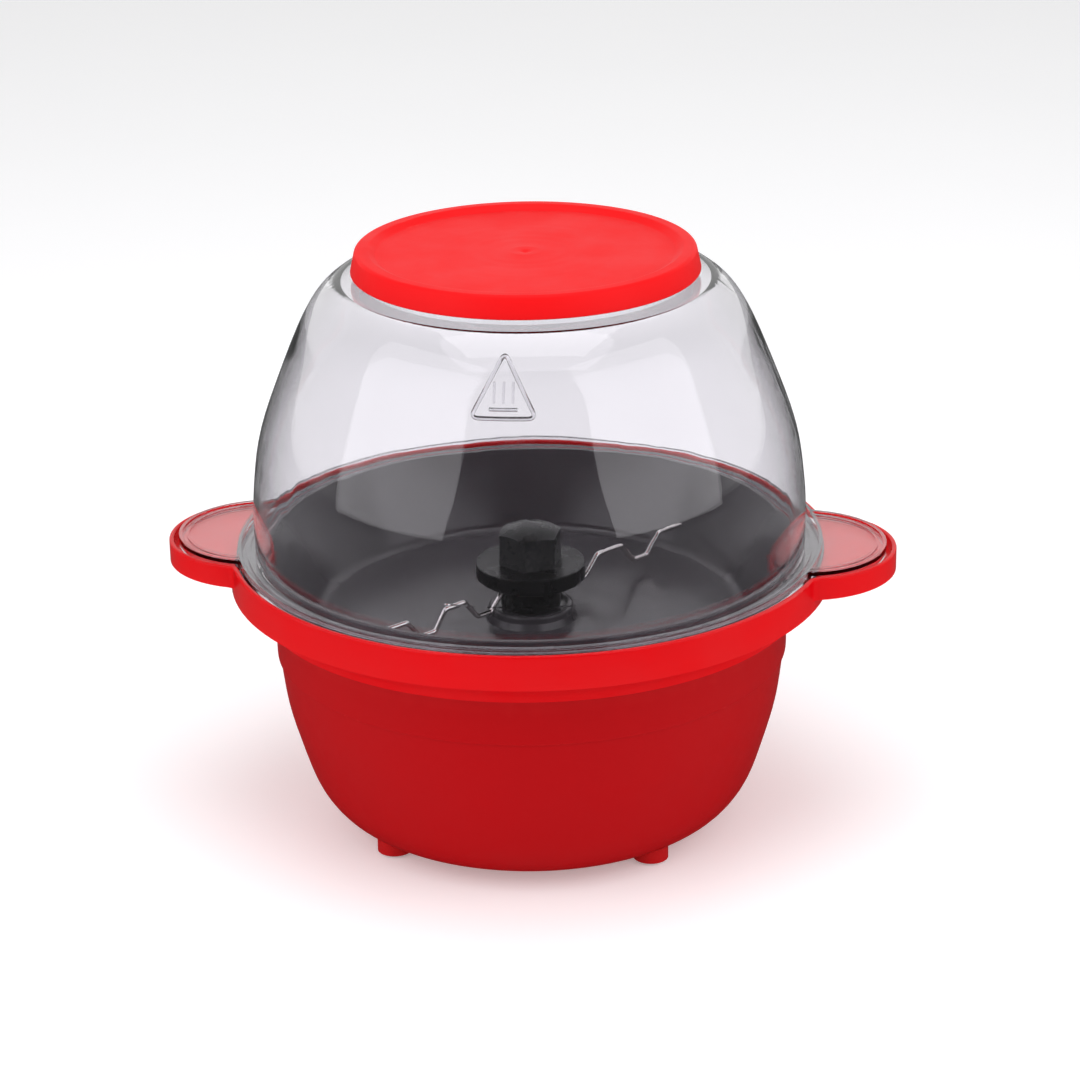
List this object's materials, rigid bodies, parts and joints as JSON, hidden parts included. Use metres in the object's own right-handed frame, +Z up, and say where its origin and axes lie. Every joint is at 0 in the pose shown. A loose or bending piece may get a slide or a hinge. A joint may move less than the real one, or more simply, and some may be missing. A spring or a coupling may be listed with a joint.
{
  "type": "popcorn maker",
  "caption": "Stirring popcorn maker: round red bowl base with two handles, non-stick pan, bent-wire stirrer on a geared motor, clear dome and a red lid pressed on top.",
  "frame": {"origin": "on the table under the centre of the bowl, level with the undersides of the foot pads", "axes": "+Z up along the stirrer shaft; +X along the line of the two handles; the front faces -Y and the lead outlet is at +Y"},
  "size_m": [0.335, 0.275, 0.2718],
  "materials": {
    "red_gloss": "glossy moulded polypropylene",
    "red_satin": "satin moulded polypropylene",
    "red_soft": "soft satin polyethylene",
    "clear": "clear polished polystyrene",
    "nonstick": "dark grey non-stick coating on cast aluminium",
    "black_nylon": "satin black nylon",
    "wire_steel": "bright spring wire",
    "steel": "zinc plated sheet",
    "screw_steel": "zinc plated screws",
    "aluminium": "bare aluminium",
    "bronze": "sintered bronze",
    "copper": "enamelled copper winding",
    "silicone": "brick red silicone",
    "rubber": "matt black rubber",
    "gear_nylon": "natural acetal",
    "magnet": "ferrite",
    "nylon_cream": "cream heat-resistant nylon",
    "ceramic": "phenolic",
    "lead_white": "glass-sleeved silicone lead",
    "lead_blue": "insulated lead",
    "lead_brown": "insulated lead"
  },
  "bodies": {
    "base": {"lower_housing": "red_satin", "rim_ring": "red_gloss", "base_cover": "red_satin", "clamp_rods": "steel", "clamp_screws": "screw_steel", "cover_screws": "screw_steel", "heating_pan": "nonstick", "pan_gasket": "silicone", "heating_element": "steel", "heat_shield": "aluminium", "pan_bush": "bronze", "shaft_seal": "silicone", "thermostat": "ceramic", "thermostat_bracket": "steel", "thermal_fuse": "lead_white", "motor_can": "steel", "motor_plate": "steel", "motor_standoffs": "steel", "motor_screws": "screw_steel", "coil_bobbin": "nylon_cream", "motor_coil": "copper", "stator_poles": "steel", "gear_plate": "steel", "rotor_pin": "screw_steel", "idler_pin": "screw_steel", "terminal_block": "nylon_cream", "terminal_screws": "screw_steel", "cord_gland": "black_nylon", "lead_heater": "lead_white", "lead_motor": "lead_blue", "lead_thermostat": "lead_brown", "lead_link": "lead_white", "foot_back_right": "red_satin", "foot_pad_back_right": "rubber", "foot_back_left": "red_satin", "foot_pad_back_left": "rubber", "foot_front_left": "red_satin", "foot_pad_front_left": "rubber", "foot_front_right": "red_satin", "foot_pad_front_right": "rubber"},
    "rotor": {"rotor_magnet": "magnet", "rotor_pinion": "gear_nylon"},
    "idler": {"idler_gear": "gear_nylon"},
    "drive": {"output_gear": "gear_nylon", "drive_shaft": "steel", "shaft_clip": "screw_steel"},
    "stirrer": {"stirrer_hub": "black_nylon", "stirrer_wire": "wire_steel", "stirrer_knob": "black_nylon"},
    "dome": {"dome": "clear"},
    "cap": {"cap": "red_soft"}
  },
  "joints": [
    {"name": "dome_lift", "type": "slide", "parent": "base", "child": "dome", "axis": [0, 0, 1], "range_m": [0, 0.2]},
    {"name": "cap_lift", "type": "slide", "parent": "dome", "child": "cap", "axis": [0, 0, 1], "range_m": [0, 0.06]},
    {"name": "shaft_spin", "type": "hinge", "parent": "base", "child": "drive", "pos_m": [0, 0, 0.08], "axis": [0, 0, 1], "continuous": true},
    {"name": "idler_spin", "type": "hinge", "parent": "base", "child": "idler", "pos_m": [0.01504, 0, 0.058], "axis": [0, 0, 1], "continuous": true},
    {"name": "rotor_spin", "type": "hinge", "parent": "base", "child": "rotor", "pos_m": [0, 0, 0.05], "axis": [0, 0, 1], "continuous": true},
    {"name": "stirrer_lift", "type": "slide", "parent": "drive", "child": "stirrer", "axis": [0, 0, 1], "range_m": [0, 0.06]}
  ],
  "couplings": [
    {"joint": "idler_spin", "follows": "shaft_spin", "ratio": -4},
    {"joint": "rotor_spin", "follows": "shaft_spin", "ratio": 16}
  ]
}
